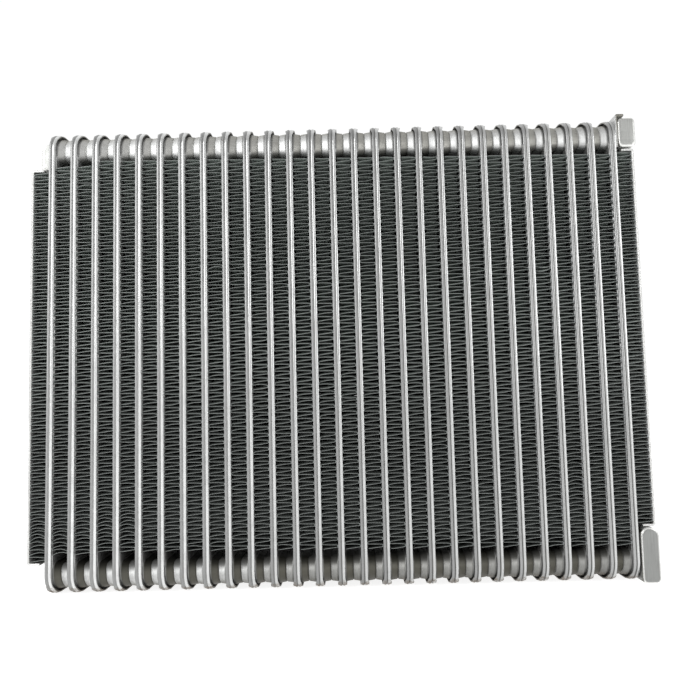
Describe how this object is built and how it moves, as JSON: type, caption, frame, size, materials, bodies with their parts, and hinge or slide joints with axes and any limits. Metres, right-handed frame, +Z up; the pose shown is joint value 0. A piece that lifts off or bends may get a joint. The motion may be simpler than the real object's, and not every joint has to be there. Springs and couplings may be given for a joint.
{
  "type": "evaporator core",
  "caption": "Laminated evaporator core: stamped tube plates brazed in pairs, drawn-cup tanks along both ends, corrugated fins between the plates, side plates and end caps.",
  "frame": {"origin": "centre of the core's bounding box at its base, the plane that the plate rims stand on", "axes": "+X across the stack, from the plain end to the end with the tank caps' bores; +Y along the air path, from the front face to the back; +Z up the tube plates"},
  "size_m": [0.3024, 0.06, 0.23],
  "materials": {
    "tube_plates": "brazed, satin, with flux stains",
    "fins": "coated, dark from use, bright at the cut edges",
    "side_plates": "mill finish",
    "caps": "drawn, satin"
  },
  "bodies": {
    "root": {"tube_plate_01": "tube_plates", "tube_plate_02": "tube_plates", "tube_plate_03": "tube_plates", "tube_plate_04": "tube_plates", "tube_plate_05": "tube_plates", "tube_plate_06": "tube_plates", "tube_plate_07": "tube_plates", "tube_plate_08": "tube_plates", "tube_plate_09": "tube_plates", "tube_plate_10": "tube_plates", "tube_plate_11": "tube_plates", "tube_plate_12": "tube_plates", "tube_plate_13": "tube_plates", "tube_plate_14": "tube_plates", "tube_plate_15": "tube_plates", "tube_plate_16": "tube_plates", "tube_plate_17": "tube_plates", "tube_plate_18": "tube_plates", "tube_plate_19": "tube_plates", "tube_plate_20": "tube_plates", "tube_plate_21": "tube_plates", "tube_plate_22": "tube_plates", "tube_plate_23": "tube_plates", "tube_plate_24": "tube_plates", "tube_plate_25": "tube_plates", "tube_plate_26": "tube_plates", "tube_plate_27": "tube_plates", "fin_01": "fins", "fin_02": "fins", "fin_03": "fins", "fin_04": "fins", "fin_05": "fins", "fin_06": "fins", "fin_07": "fins", "fin_08": "fins", "fin_09": "fins", "fin_10": "fins", "fin_11": "fins", "fin_12": "fins", "fin_13": "fins", "fin_14": "fins", "fin_15": "fins", "fin_16": "fins", "fin_17": "fins", "fin_18": "fins", "fin_19": "fins", "fin_20": "fins", "fin_21": "fins", "fin_22": "fins", "fin_23": "fins", "fin_24": "fins", "fin_25": "fins", "fin_26": "fins", "fin_27": "fins", "fin_28": "fins", "side_plate_left": "side_plates", "side_plate_right": "side_plates", "top_left_cap": "caps", "top_right_cap": "caps", "bottom_right_cap": "caps"}
  },
  "joints": []
}
